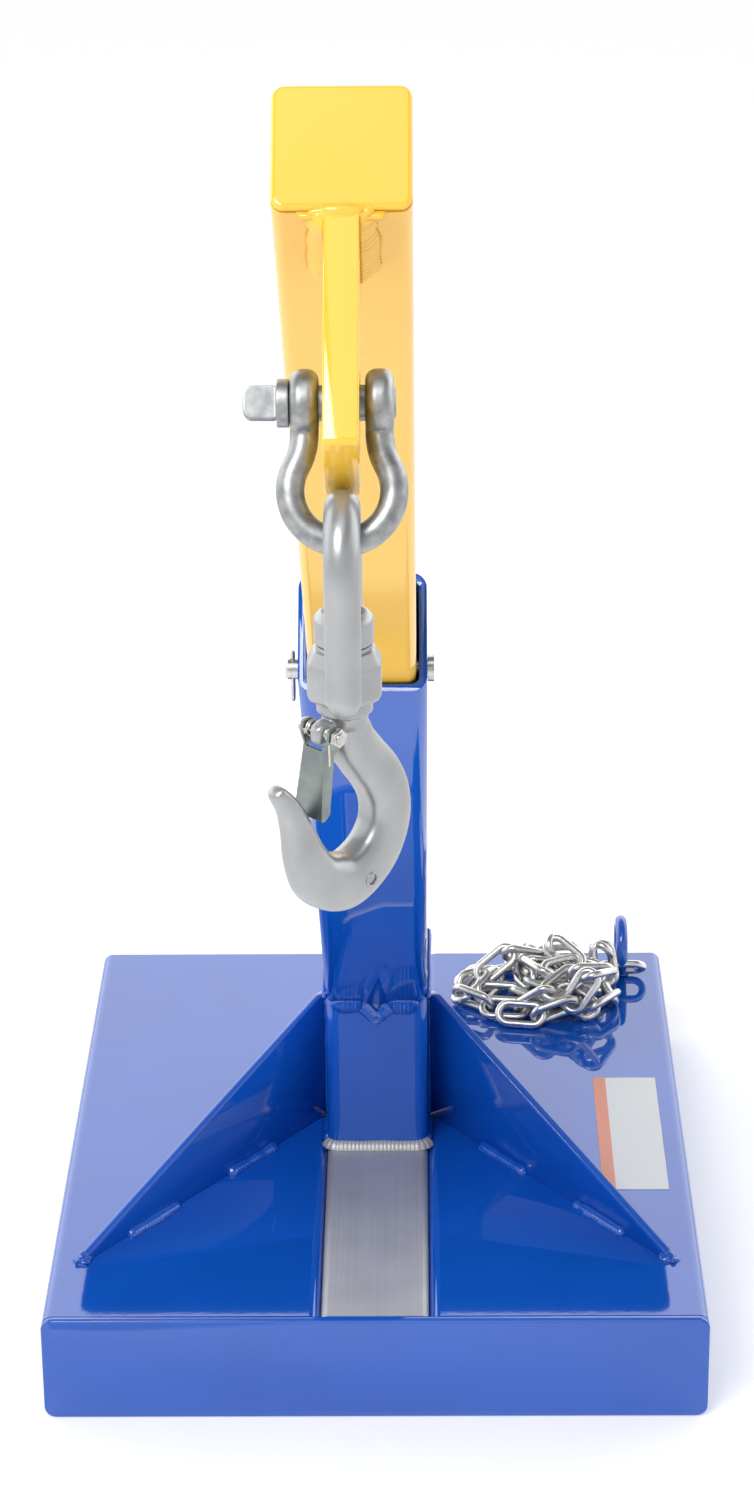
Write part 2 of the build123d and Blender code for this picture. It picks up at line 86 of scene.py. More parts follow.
# ---- studio ----
# White paper for a floor, a key and a top soft box, a room lit behind and low down, and one
# black flag.
def surface(name, grid, round_closed=False, ends_closed=False):
    """Mesh of a grid of points (rows, columns, 3): each cell is one face, rows run along the
    piece and columns round it. Closed round joins the last column to the first, and closed
    ends puts a fan to the mean point of the first and of the last row."""
    grid = np.asarray(grid, dtype=float)
    rows, columns, _ = grid.shape
    index = np.arange(rows * columns).reshape(rows, columns)
    around = np.concatenate([index, index[:, :1]], axis=1) if round_closed else index
    quads = np.stack([around[:-1, :-1], around[:-1, 1:], around[1:, 1:], around[1:, :-1]], axis=-1)
    faces = quads.reshape(-1, 4).tolist()
    points = grid.reshape(-1, 3)
    if ends_closed:
        points = np.vstack([points, grid[0].mean(axis=0), grid[-1].mean(axis=0)])
        first, last = rows * columns, rows * columns + 1
        start, end = around[0], around[-1]
        faces += np.column_stack([start[1:], start[:-1], np.full(start.size - 1, first)]).tolist()
        faces += np.column_stack([end[:-1], end[1:], np.full(end.size - 1, last)]).tolist()
    mesh = bpy.data.meshes.new(name)
    mesh.from_pydata(points.tolist(), [], faces)
    mesh.polygons.foreach_set("use_smooth", np.ones(len(mesh.polygons), dtype=bool))
    mesh.update()
    piece = bpy.data.objects.new(name, mesh)
    bpy.context.scene.collection.objects.link(piece)
    return piece


def new_finish(name):
    """An empty node material: the material, its nodes, its links and its shader."""
    finish = bpy.data.materials.new(name)
    finish.use_nodes = True
    tree = finish.node_tree
    return finish, tree.nodes, tree.links, tree.nodes["Principled BSDF"]


def wear(piece, finish):
    """Give a piece one finish all over."""
    piece.data.materials.clear()
    piece.data.materials.append(finish)


floor_reach, floor_drop = 12.0, 0.0005
corner = np.array([-floor_reach, floor_reach])
floor_grid = np.stack(np.broadcast_arrays(corner[:, None], corner[None, :], -floor_drop), axis=-1)
floor = surface("studio_floor", floor_grid[:, ::-1][::-1])
paper, _, _, paper_shader = new_finish("white_paper")
paper_shader.inputs["Base Color"].default_value = (0.86, 0.86, 0.86, 1.0)
paper_shader.inputs["Roughness"].default_value = 0.9
paper_shader.inputs["Emission Color"].default_value = (1.0, 1.0, 1.0, 1.0)
paper_shader.inputs["Emission Strength"].default_value = 0.30
wear(floor, paper)


def soft_box(name, place, target, width, power):
    """A square area light that looks at a point."""
    lamp = bpy.data.lights.new(name, "AREA")
    lamp.shape = "SQUARE"
    lamp.size = width
    lamp.energy = power
    box = bpy.data.objects.new(name, lamp)
    bpy.context.scene.collection.objects.link(box)
    look = np.array(place) - np.array(target)
    look = look / np.linalg.norm(look)
    side = np.cross([0.0, 0.0, 1.0], look)
    side = side / np.linalg.norm(side)
    pose = np.eye(4)
    pose[:3, :3] = np.column_stack([side, np.cross(look, side), look])
    pose[:3, 3] = place
    box.matrix_world = Matrix(pose.tolist())


soft_box("key_box", (-1.2, -2.6, 3.2), (0.0, -0.4, 0.5), 1.6, 82.0)
soft_box("top_box", (0.0, -1.5, 3.4), (0.0, -1.2, 0.5), 1.6, 10.0)

# The room is brightest behind and low down, where its walls are lit, and dark overhead.
room = bpy.data.worlds.new("bright_room")
room.use_nodes = True
bpy.context.scene.world = room
room_nodes, room_links = room.node_tree.nodes, room.node_tree.links
heading = room_nodes.new("ShaderNodeTexCoord")
split = room_nodes.new("ShaderNodeSeparateXYZ")
room_links.new(heading.outputs["Generated"], split.inputs["Vector"])
room_brightness = 2.2
shades = []
for axis, low, high, dark, light in (("Z", 0.58, 0.68, 1.0, 0.15), ("Y", -0.40, 0.50, 0.35, 1.0)):
    shade = room_nodes.new("ShaderNodeMapRange")
    shade.interpolation_type = "SMOOTHSTEP"
    shade.inputs["From Min"].default_value = low
    shade.inputs["From Max"].default_value = high
    shade.inputs["To Min"].default_value = dark
    shade.inputs["To Max"].default_value = light
    room_links.new(split.outputs[axis], shade.inputs["Value"])
    shades.append(shade.outputs["Result"])
level_node = room_nodes.new("ShaderNodeMath")
level_node.operation = "MULTIPLY"
room_links.new(shades[0], level_node.inputs[0])
room_links.new(shades[1], level_node.inputs[1])
gain = room_nodes.new("ShaderNodeMath")
gain.operation = "MULTIPLY"
gain.inputs[1].default_value = room_brightness
room_links.new(level_node.outputs[0], gain.inputs[0])
room_links.new(gain.outputs[0], room_nodes["Background"].inputs["Strength"])
room_nodes["Background"].inputs["Color"].default_value = (1.0, 1.0, 1.0, 1.0)
bpy.context.scene.view_settings.view_transform = "Standard"

# A black flag stands far behind, seen only as a reflection: it keeps the panel between the
# gussets' tips and the front plate dark. Each corner is where the line of sight, turned upward
# by the coated top, meets the flag's plane.
panel_half, panel_back, panel_front, panel_round = 0.2080, -0.2050, -0.2735, 0.0120
panel_flank_x, coated_top = 0.0450, 0.0800
flag_y = 2.2
quarter = np.linspace(0.0, np.pi / 2, 8)
front_corner = np.column_stack([panel_half - panel_round + panel_round * np.cos(quarter),
                                panel_front + panel_round - panel_round * np.sin(quarter)])
flank = np.array([(panel_flank_x, 0.0), (panel_half, panel_back)])
half_outline = np.vstack([flank, front_corner])
outline = np.vstack([half_outline, half_outline[::-1] * [-1.0, 1.0]])
spots = np.column_stack([outline, np.full(len(outline), coated_top)])
sight = (spots - viewpoint) * [1.0, 1.0, -1.0]
marks = spots + sight * ((flag_y - spots[:, 1]) / sight[:, 1])[:, None]
flag_mesh = bpy.data.meshes.new("black_flag")
flag_mesh.from_pydata(marks.tolist(), [], [list(range(len(marks)))])
flag = bpy.data.objects.new("black_flag", flag_mesh)
bpy.context.scene.collection.objects.link(flag)
felt, _, _, felt_shader = new_finish("black_felt")
felt_shader.inputs["Base Color"].default_value = (0.0, 0.0, 0.0, 1.0)
felt_shader.inputs["Specular IOR Level"].default_value = 0.0
wear(flag, felt)
flag.visible_camera = False
flag.visible_diffuse = False
flag.visible_shadow = False


# ---- base: fork pockets, front plate and their blue powder coat ----
# Two rectangular tubes either side of a centre tube, closed in front by a welded plate.
# Everything but the strip between the gussets is coated in high-gloss blue powder.
def noise(tree_nodes, links, scale, detail=2.0, stretch=(1.0, 1.0, 1.0)):
    """Noise on the piece's own metres, stretched along its axes."""
    coordinate = tree_nodes.new("ShaderNodeTexCoord")
    mapping = tree_nodes.new("ShaderNodeMapping")
    mapping.inputs["Scale"].default_value = stretch
    texture = tree_nodes.new("ShaderNodeTexNoise")
    texture.inputs["Scale"].default_value = scale
    texture.inputs["Detail"].default_value = detail
    links.new(coordinate.outputs["Object"], mapping.inputs["Vector"])
    links.new(mapping.outputs["Vector"], texture.inputs["Vector"])
    return texture.outputs["Fac"]


def ramp(tree_nodes, links, source, stops):
    """Colour ramp over a value: stops are (position, colour)."""
    node = tree_nodes.new("ShaderNodeValToRGB")
    band = node.color_ramp
    band.elements[0].position, band.elements[0].color = stops[0][0], (*stops[0][1], 1.0)
    band.elements[1].position, band.elements[1].color = stops[-1][0], (*stops[-1][1], 1.0)
    for place, colour in stops[1:-1]:
        band.elements.new(place).color = (*colour, 1.0)
    links.new(source, node.inputs["Fac"])
    return node.outputs["Color"]


def dimple(tree_nodes, links, shader, source, height, strength):
    """Bump from a value: height in metres."""
    bump = tree_nodes.new("ShaderNodeBump")
    bump.inputs["Strength"].default_value = strength
    bump.inputs["Distance"].default_value = height
    links.new(source, bump.inputs["Height"])
    links.new(bump.outputs["Normal"], shader.inputs["Normal"])
    return bump


def powder_coat(name, colour, deep, gloss):
    """Glossy powder coat: a slow drift between two near colours, and a fine orange peel."""
    finish, tree_nodes, links, shader = new_finish(name)
    drift = noise(tree_nodes, links, 9.0)
    tint = ramp(tree_nodes, links, drift, [(0.35, deep), (0.65, colour)])
    links.new(tint, shader.inputs["Base Color"])
    peel = noise(tree_nodes, links, 260.0, 1.0)
    dimple(tree_nodes, links, shader, peel, 0.00002, 0.08)
    shader.inputs["Roughness"].default_value = gloss
    shader.inputs["IOR"].default_value = 1.7
    return finish


blue_coat = powder_coat("blue_powder_coat", (0.005, 0.089, 0.49), (0.004, 0.079, 0.44), 0.02)


def softened(name, node, width, finish, body, steps=3):
    """A CAD node's shape with its sharp edges rounded: merge its triangles, dissolve its flats
    and round each edge sharper than 30 degrees. It rides on the node's body and replaces it."""
    mesh = nodes[node].data.copy()
    piece = bpy.data.objects.new(name, mesh)
    bpy.context.scene.collection.objects.link(piece)
    weld = piece.modifiers.new("join", "WELD")
    weld.merge_threshold = 0.00001
    flats = piece.modifiers.new("flats", "DECIMATE")
    flats.decimate_type = "DISSOLVE"
    flats.angle_limit = np.radians(1.0)
    rounding = piece.modifiers.new("rounding", "BEVEL")
    rounding.width = width
    rounding.segments = steps
    rounding.limit_method = "ANGLE"
    rounding.angle_limit = np.radians(30.0)
    rounding.harden_normals = True
    settle(piece)
    wear(piece, finish)
    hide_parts(node)
    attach(piece, body)
    return piece


def settle(piece):
    """Turn a piece's modifiers into its mesh."""
    graph = bpy.context.evaluated_depsgraph_get()
    mesh = bpy.data.meshes.new_from_object(piece.evaluated_get(graph))
    piece.modifiers.clear()
    piece.data = mesh
    mesh.polygons.foreach_set("use_smooth", np.ones(len(mesh.polygons), dtype=bool))
    mesh.update()


for tube in ("fork_pocket_left", "fork_pocket_right"):
    wear(nodes[tube], blue_coat)
softened("front_closing_plate", "front_plate", 0.0014, blue_coat, "base_frame")

# ---- gussets and their welds ----
# Upright plates from the post's sides to the front corners. Short stitch welds hold each foot,
# a blob closes its tip, and a bead runs up the post.
def joined(name, parts, finish, body):
    """Several closed shells as one piece that rides on a body."""
    stock = bmesh.new()
    for part in parts:
        stock.from_mesh(part.data)
        bpy.data.objects.remove(part)
    mesh = bpy.data.meshes.new(name)
    stock.to_mesh(mesh)
    stock.free()
    mesh.polygons.foreach_set("use_smooth", np.ones(len(mesh.polygons), dtype=bool))
    piece = bpy.data.objects.new(name, mesh)
    bpy.context.scene.collection.objects.link(piece)
    wear(piece, finish)
    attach(piece, body)
    return piece


def unit(vector):
    """A vector, or each row of them, at length one."""
    vector = np.asarray(vector, dtype=float)
    return vector / np.linalg.norm(vector, axis=-1, keepdims=True)


ripple_chance = np.random.default_rng(11)


def weld_bead(path, along_a, along_b, leg, crown=0.16, rough=0.10, ribs=0.04):
    """Fillet weld in the corner between two faces. Each section runs from one leg's end to the
    other's with a crown between, and goes back through the root, set a little into the metal.
    Ripples every 3 mm and a slow random drift change the leg, and both ends round off."""
    path = np.asarray(path, dtype=float)
    run = np.concatenate([[0.0], np.cumsum(np.linalg.norm(np.diff(path, axis=0), axis=1))])
    rows = max(24, int(run[-1] / 0.0006))
    reach = np.linspace(0.0, run[-1], rows)
    line = np.column_stack([np.interp(reach, run, path[:, axis]) for axis in range(3)])
    side_a = unit(np.column_stack([np.interp(reach, run, np.broadcast_to(along_a, path.shape)[:, axis])
                                   for axis in range(3)]))
    side_b = unit(np.column_stack([np.interp(reach, run, np.broadcast_to(along_b, path.shape)[:, axis])
                                   for axis in range(3)]))
    knots = np.linspace(0.0, run[-1], max(4, int(run[-1] / 0.007)))
    drift = np.interp(reach, knots, ripple_chance.normal(0.0, rough, knots.size))
    ripple = ribs * np.abs(np.sin(np.pi * reach / 0.003))
    nose = np.minimum(1.0, np.minimum(reach, run[-1] - reach) / leg)
    size = leg * (1.0 + drift + ripple) * np.sqrt(np.clip(1.0 - (1.0 - nose) ** 2, 0.02, 1.0))
    phase = np.linspace(0.0, 1.0, 11)[None, :, None]
    bulge = crown * np.sin(np.pi * phase)
    face = side_a[:, None] * (1.0 - phase + bulge) + side_b[:, None] * (phase + bulge)
    crest = line[:, None] + face * size[:, None, None]
    root = line[:, None] - (side_a + side_b)[:, None] * 0.0004
    return surface("bead", np.concatenate([crest, root], axis=1), True, True)


def weld_blob(place, radii, lumps=0.12):
    """Weld blob: an ellipsoid whose radius is changed by a sum of three random waves."""
    polar = np.linspace(0.02, np.pi - 0.02, 26)[:, None]
    turn = np.linspace(0.0, 2.0 * np.pi, 40, endpoint=False)[None, :]
    sphere = np.stack([np.sin(polar) * np.cos(turn), np.sin(polar) * np.sin(turn),
                       np.cos(polar) * np.ones_like(turn)], axis=-1)
    waves = sum(np.sin(sphere @ ripple_chance.normal(0.0, 3.2, 3) + ripple_chance.uniform(0.0, 6.0))
                for _ in range(3))
    return surface("blob", place + sphere * radii * (1.0 + lumps * waves[..., None] / 1.5), True, True)


base_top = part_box("fork_pocket_right")[1].z
post_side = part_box("post_tube")[1].x
foot_inner = np.array([0.0381, 0.011, base_top])
foot_outer = np.array([0.2080, -0.2040, base_top])
outward = unit(foot_outer - foot_inner)
inward_face = np.array([outward[1], -outward[0], 0.0])
plate_thick = 0.00635
gusset_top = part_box("gusset_right")[1].z
to_sky = np.array([0.0, 0.0, 1.0])
stitches = [(0.064, 0.120), (0.174, 0.231)]

for side, word in ((1.0, "right"), (-1.0, "left")):
    flip = np.array([side, 1.0, 1.0])
    softened("gusset_plate_" + word, "gusset_" + word, 0.0009, blue_coat, "base_frame")
    beads = []
    for face, shift in ((inward_face, 0.0), (-inward_face, plate_thick)):
        foot = foot_inner - inward_face * shift
        for near, far in stitches:
            ends = np.array([foot + outward * near, foot + outward * far]) * flip
            beads.append(weld_bead(ends, to_sky, face * flip, 0.0052))
        post_line = foot + outward * (post_side - foot[0]) / outward[0]
        post_way = np.array([0.0, -1.0 if shift == 0.0 else 1.0, 0.0])
        rise = np.array([post_line, [post_line[0], post_line[1], gusset_top - 0.003]]) * flip
        beads.append(weld_bead(rise, post_way, outward * flip, 0.0042))
    tip = (foot_outer - inward_face * plate_thick / 2) * flip
    beads.append(weld_blob(tip + [0.0, 0.0, 0.001], [0.0058, 0.0058, 0.0040], 0.2))
    beads.append(weld_blob(tip + outward * flip * 0.004 - to_sky * 0.0005,
                           [0.0048, 0.0048, 0.0034], 0.25))
    joined("gusset_welds_" + word, beads, blue_coat, "base_frame")

# ---- centre strip ----
# The drawn steel top of the centre tube, left bare: fine lines from the drawing die run
# along it, with thin dark joints against the coated pockets.
bare_steel, tree_nodes, links, shader = new_finish("bare_drawn_steel")
lines = noise(tree_nodes, links, 1.0, 3.0, (900.0, 3.0, 900.0))
cloud = noise(tree_nodes, links, 22.0, 3.0)
blend = tree_nodes.new("ShaderNodeMath")
blend.operation = "MULTIPLY_ADD"
blend.inputs[1].default_value = 0.45
links.new(lines, blend.inputs[0])
scaled = tree_nodes.new("ShaderNodeMath")
scaled.operation = "MULTIPLY"
scaled.inputs[1].default_value = 0.55
links.new(cloud, scaled.inputs[0])
links.new(scaled.outputs[0], blend.inputs[2])
steel_tone = ramp(tree_nodes, links, blend.outputs[0],
                  [(0.3, (0.40, 0.40, 0.41)), (0.7, (0.52, 0.52, 0.54))])
links.new(steel_tone, shader.inputs["Base Color"])
dimple(tree_nodes, links, shader, lines, 0.00006, 0.35)
shader.inputs["Metallic"].default_value = 0.45
shader.inputs["Roughness"].default_value = 0.44
wear(nodes["centre_tube"], bare_steel)

# ---- post and mast ----
# One size of square tube, cut at 22.5 degrees and welded so that the mast leans forward. The
# post's front has a notch at the seam, filled with weld, and a bare bead round its foot.
wear(nodes["post_tube"], blue_coat)
softened("mast_square_tube", "mast_tube", 0.0007, blue_coat, "base_frame")
tube_half = post_side
tube_round = 0.0095
post_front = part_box("post_tube")[0].y
post_middle = post_front + tube_half
mast_lean = np.array([0.0, -np.sqrt(0.5), np.sqrt(0.5)])
mitre_middle = np.array([0.0, post_middle, 0.2194])
mitre_way = np.array([0.0, np.cos(np.radians(22.5)), np.sin(np.radians(22.5))])
seam_half = tube_half / np.cos(np.radians(22.5))
seam_front = mitre_middle - mitre_way * seam_half
seam_back = mitre_middle + mitre_way * seam_half
down = -to_sky
beads = []
for near, far in ((-0.0345, -0.0095), (0.0080, 0.0320)):
    seam = seam_front + np.array([[near, 0, 0], [(near + far) / 2, 0, 0], [far, 0, 0]])
    beads.append(weld_bead(seam, down, mast_lean, 0.0084, 0.34, 0.12, 0.10))
notch_foot = seam_front + [0.0, 0.0004, -0.0150]
for side in (-1.0, 1.0):
    flank = np.array([seam_front + [side * 0.0125, 0.0004, 0.0005],
                      notch_foot - [side * 0.0015, 0.0, 0.0]])
    beads.append(weld_bead(flank, [side * 0.75, -0.25, -0.3], [-side * 0.6, -0.25, 0.5],
                           0.0056, 0.30, 0.14))
    seam = np.array([seam_front, seam_back]) + [side * tube_half, 0.0, 0.0]
    seam[0] += mitre_way * 0.006
    seam[1] -= mitre_way * 0.009
    seam_cross = np.array([0.0, -mitre_way[2], mitre_way[1]])
    for way in (1.0, -1.0):
        beads.append(weld_bead(seam, [side, 0.0, 0.0] * np.array(0.35) + seam_cross * way * 0.2,
                               seam_cross * way, 0.0034, 0.10, 0.10))
beads.append(weld_blob(notch_foot + [0.0, 0.0010, 0.0010], [0.0046, 0.0030, 0.0042], 0.1))
beads.append(weld_blob(seam_front + [0.0, 0.0030, -0.0060], [0.0110, 0.0026, 0.0080], 0.0))
rear = np.array([seam_back + [-0.028, 0, 0], seam_back + [0.028, 0, 0]])
beads.append(weld_bead(rear, [0.0, 0.3, -1.0], [0.0, 0.2, 1.0], 0.0036, 0.25, 0.10))
joined("mitre_welds", beads, blue_coat, "base_frame")

# The foot bead follows the front face and turns back round both front corners.
quarter = np.linspace(0.0, np.pi / 2, 12)
corner_x = tube_half - tube_round + tube_round * np.cos(quarter)
corner_y = post_front + tube_round - tube_round * np.sin(quarter)
right_turn = np.column_stack([corner_x, corner_y, np.full(12, base_top)])
left_turn = right_turn[::-1] * [-1.0, 1.0, 1.0]
foot_path = np.vstack([right_turn, left_turn])
turn_out = np.column_stack([np.cos(quarter), -np.sin(quarter), np.zeros(12)])
foot_out = np.vstack([turn_out, turn_out[::-1] * [-1.0, 1.0, 1.0]])
joined("post_foot_weld", [weld_bead(foot_path, foot_out, to_sky, 0.0056, 0.12, 0.05, 0.10)],
       bare_steel, "base_frame")
beads = []
for side in (-1.0, 1.0):
    line = np.array([[side * tube_half, post_front + 0.012, base_top],
                     [side * tube_half, 0.006, base_top]])
    beads.append(weld_bead(line, [side, 0.0, 0.0], to_sky, 0.0042))
    line = np.array([[side * tube_half, 0.020, base_top],
                     [side * tube_half, post_front + 0.068, base_top]])
    beads.append(weld_bead(line, [side, 0.0, 0.0], to_sky, 0.0042))
line = np.array([[-0.030, post_middle + tube_half, base_top],
                 [0.030, post_middle + tube_half, base_top]])
beads.append(weld_bead(line, [0.0, 1.0, 0.0], to_sky, 0.0045))
joined("post_side_welds", beads, blue_coat, "base_frame")

# ---- chain ring ----
# A ring of round bar, welded upright to the rear corner and coated with the base.
wear(nodes["chain_ring"], blue_coat)
ring_low, ring_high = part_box("chain_ring")
ring_x = (ring_low.x + ring_high.x) / 2
ring_y = (ring_low.y + ring_high.y) / 2
ring_foot = np.array([ring_x, ring_y, base_top])
ring_blobs = [weld_blob(ring_foot + [0.0, shift, 0.0008], [0.0062, 0.0060, 0.0036], 0.15)
              for shift in (-0.007, 0.0, 0.007)]
joined("ring_welds", ring_blobs, blue_coat, "base_frame")

# ---- boom ----
# Square tube that telescopes in the mast, with a welded end cap and a thick lifting lug.
yellow_coat = powder_coat("yellow_powder_coat", (0.87, 0.52, 0.050), (0.85, 0.50, 0.042), 0.06)
wear(nodes["boom_tube"], yellow_coat)
softened("boom_cap_plate", "boom_end_cap", 0.0032, yellow_coat, "boom", 4)
softened("lifting_lug_plate", "lifting_lug", 0.0011, yellow_coat, "boom")
boom_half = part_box("boom_tube")[1].x
lug_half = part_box("lifting_lug")[1].x
boom_down = np.array([0.0, -np.sqrt(0.5), -np.sqrt(0.5)])
boom_back = -mast_lean
boom_front = mitre_middle + mast_lean * 1.183
lug_root = boom_front + boom_down * boom_half
beads = []
for side in (-1.0, 1.0):
    line = np.array([lug_root + boom_back * 0.0004, lug_root + boom_back * 0.0590])
    line = line + [side * lug_half, 0, 0]
    beads.append(weld_bead(line, [side, 0.0, 0.0], boom_down, 0.0084, 0.10, 0.06, 0.10))
    beads.append(weld_blob(lug_root + boom_back * 0.0030 + boom_down * 0.0006 + [side * 0.0095, 0, 0],
                           [0.0052, 0.0030, 0.0030], 0.12))
beads.append(weld_blob(lug_root + boom_down * 0.0020 + boom_back * 0.0012,
                       [0.0108, 0.0034, 0.0034], 0.12))
cap_lip = lug_root + boom_back * 0.0030 + boom_down * 0.0008
lip = np.array([cap_lip - [0.020, 0, 0], cap_lip + [0.020, 0, 0]])
beads.append(weld_bead(lip, boom_back, boom_down, 0.0034, 0.20, 0.16))
joined("lug_welds", beads, yellow_coat, "boom")
# ---- lock pin and hairpin ----
# Zinc-plated pin through mast and boom; a spring-wire hairpin holds it.
def plated(name, dark, bright, roughness, grain=300.0):
    """Plated or galvanised steel: cloudy grain between two greys, and a faint bump."""
    finish, tree_nodes, links, shader = new_finish(name)
    cloud = noise(tree_nodes, links, grain, 4.0)
    tint = ramp(tree_nodes, links, cloud, [(0.35, dark), (0.65, bright)])
    links.new(tint, shader.inputs["Base Color"])
    dimple(tree_nodes, links, shader, cloud, 0.0001, 0.15)
    shader.inputs["Metallic"].default_value = 1.0
    shader.inputs["Roughness"].default_value = roughness
    return finish


zinc = plated("zinc_plate", (0.50, 0.49, 0.47), (0.66, 0.65, 0.62), 0.25)
for small in ("lock_pin", "hairpin_cotter", "latch_pin", "latch_nut", "latch_spring"):
    wear(nodes[small], zinc)

# ---- shackle ----
# A drop-forged, hot-dip galvanised bow with a screw pin. The forging's corners are full and
# its skin is clouded by the zinc.
def forged(name, blanks, grain, passes, finish, body, slot, *stands_for):
    """One forging from overlapping closed blanks: rebuild their common skin on a grid of the
    given grain, then relax it, so inner corners fill and edges soften."""
    stock = bmesh.new()
    for blank in blanks:
        stock.from_mesh(blank.data)
        if "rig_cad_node" not in blank:
            bpy.data.objects.remove(blank)
    bmesh.ops.remove_doubles(stock, verts=stock.verts, dist=0.00001)
    mesh = bpy.data.meshes.new(name)
    stock.to_mesh(mesh)
    stock.free()
    piece = bpy.data.objects.new(name, mesh)
    bpy.context.scene.collection.objects.link(piece)
    skin = piece.modifiers.new("skin", "REMESH")
    skin.mode = "VOXEL"
    skin.voxel_size = grain
    relax = piece.modifiers.new("relax", "SMOOTH")
    relax.factor = 0.5
    relax.iterations = passes
    settle(piece)
    wear(piece, finish)
    if stands_for:
        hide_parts(*stands_for)
    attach(piece, body)
    return piece


galvanised = plated("galvanised_steel", (0.27, 0.28, 0.29), (0.42, 0.43, 0.43), 0.42, 170.0)
forged("shackle_forged_bow", [nodes["shackle_bow"]], 0.0006, 8, galvanised, "shackle",
       "galvanised_steel", "shackle_bow")
forged("shackle_forged_pin", [nodes["shackle_pin"]], 0.0004, 5, galvanised, "shackle_screw_pin",
       "galvanised_steel", "shackle_pin")

# ---- swivel eye ----
# A round-bar bail forged in one with a faceted hub, painted silver grey. The hook's shank
# turns in the hub on a thrust washer under a crown nut.
silver = plated("silver_paint", (0.35, 0.36, 0.37), (0.41, 0.42, 0.43), 0.34, 40.0)
silver.node_tree.nodes["Principled BSDF"].inputs["Metallic"].default_value = 0.7


def bar(name, path, radius, binormal, columns=40):
    """Round bar along a flat path: rings square to the path, with a radius for each row. The
    binormal is the direction square to the path's plane."""
    path = np.asarray(path, dtype=float)
    tangent = unit(np.gradient(path, axis=0))
    normal = unit(np.cross(binormal, tangent))
    turn = np.linspace(0.0, 2.0 * np.pi, columns, endpoint=False)[None, :, None]
    ring = normal[:, None] * np.cos(turn) + np.asarray(binormal, dtype=float) * np.sin(turn)
    spread = np.broadcast_to(radius, len(path))[:, None, None]
    return surface(name, path[:, None] + ring * spread, True, True)


def lathed(name, axis_point, profile, columns=72, facets=0):
    """Surface of revolution about an upright axis: profile rows are (height, radius). With
    facets, each ring is a rounded polygon: its radius is divided by a high-power mean of the
    cosines to the facet normals."""
    profile = np.asarray(profile, dtype=float)
    turn = np.linspace(0.0, 2.0 * np.pi, columns, endpoint=False)
    swell = np.ones(columns)
    if facets:
        normals = np.arange(facets) * 2.0 * np.pi / facets
        cosines = np.clip(np.cos(turn[:, None] - normals[None, :]), 0.0, None)
        swell = 1.0 / (cosines ** 30).sum(axis=1) ** (1.0 / 30)
    radius = profile[:, 1][:, None] * swell[None, :]
    height = profile[:, 0][:, None] * np.ones(columns)
    grid = np.stack([radius * np.cos(turn), radius * np.sin(turn), height], axis=-1)
    return surface(name, grid[::-1] + [axis_point[0], axis_point[1], 0.0], True, True)


eye_low, eye_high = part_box("swivel_eye")
swivel_y = (eye_low.y + eye_high.y) / 2
hub_bottom = eye_low.z
hub_top = hub_bottom + 0.0245
bail_bar = 0.00825
bail_half = (eye_high.y - eye_low.y) / 2 - bail_bar
arch_z = eye_high.z - bail_bar - bail_half
foot_z = hub_bottom + 0.0090
arch = np.linspace(np.pi, 0.0, 60)
rise = np.linspace(foot_z, arch_z, 40)[:-1]
tuck = np.linspace(0.0, 1.0, 10)[:-1]
left_leg = np.column_stack([np.full(39, -bail_half), rise])
left_toe = np.column_stack([-bail_half + 0.0052 * (1 - tuck) ** 1.5,
                            hub_bottom + 0.0008 + 0.0082 * tuck])
crown_arc = np.column_stack([bail_half * np.cos(arch), arch_z + bail_half * np.sin(arch)])
bail_yz = np.vstack([left_toe, left_leg, crown_arc])
bail_yz = np.vstack([bail_yz, (bail_yz[:len(left_toe) + len(left_leg)] * [-1, 1])[::-1]])
toe_radius = bail_bar - 0.0030 * (1 - tuck) ** 1.5
bail_middle = np.full(len(bail_yz) - 2 * len(tuck), bail_bar)
bail_radius = np.concatenate([toe_radius, bail_middle, toe_radius[::-1]])
bail_path = np.column_stack([np.zeros(len(bail_yz)), swivel_y + bail_yz[:, 0], bail_yz[:, 1]])
bail = bar("bail", bail_path, bail_radius, [1.0, 0.0, 0.0])
hub_profile = [(hub_bottom, 0.0125), (hub_bottom + 0.0004, 0.0155), (hub_bottom + 0.0030, 0.0168),
               (hub_top - 0.0065, 0.0168), (hub_top - 0.0005, 0.0138), (hub_top, 0.0125)]
heights = np.linspace(hub_bottom, hub_top, 60)
hub_profile = np.column_stack([heights, np.interp(heights, *np.transpose(hub_profile))])
hub = lathed("hub", (0.0, swivel_y), hub_profile, 96, 8)
forged("swivel_forging", [bail, hub], 0.0006, 6, silver, "swivel", "silver_paint", "swivel_eye")
wear(nodes["thrust_washer"], silver)
softened("crown_nut", "shank_nut", 0.0014, silver, "hook_body")

# ---- hook ----
# A forged hook with its shank, collar and latch ear in one. The body is thick at the bowl and
# thins to an upturned point; its sides are flat and its inner edge is narrower.
hook_turn = np.radians(45.0)
hook_across = np.array([np.cos(hook_turn), np.sin(hook_turn), 0.0])
hook_side = np.array([np.sin(hook_turn), -np.cos(hook_turn), 0.0])
hook_origin = np.array([0.0, swivel_y, hub_bottom])
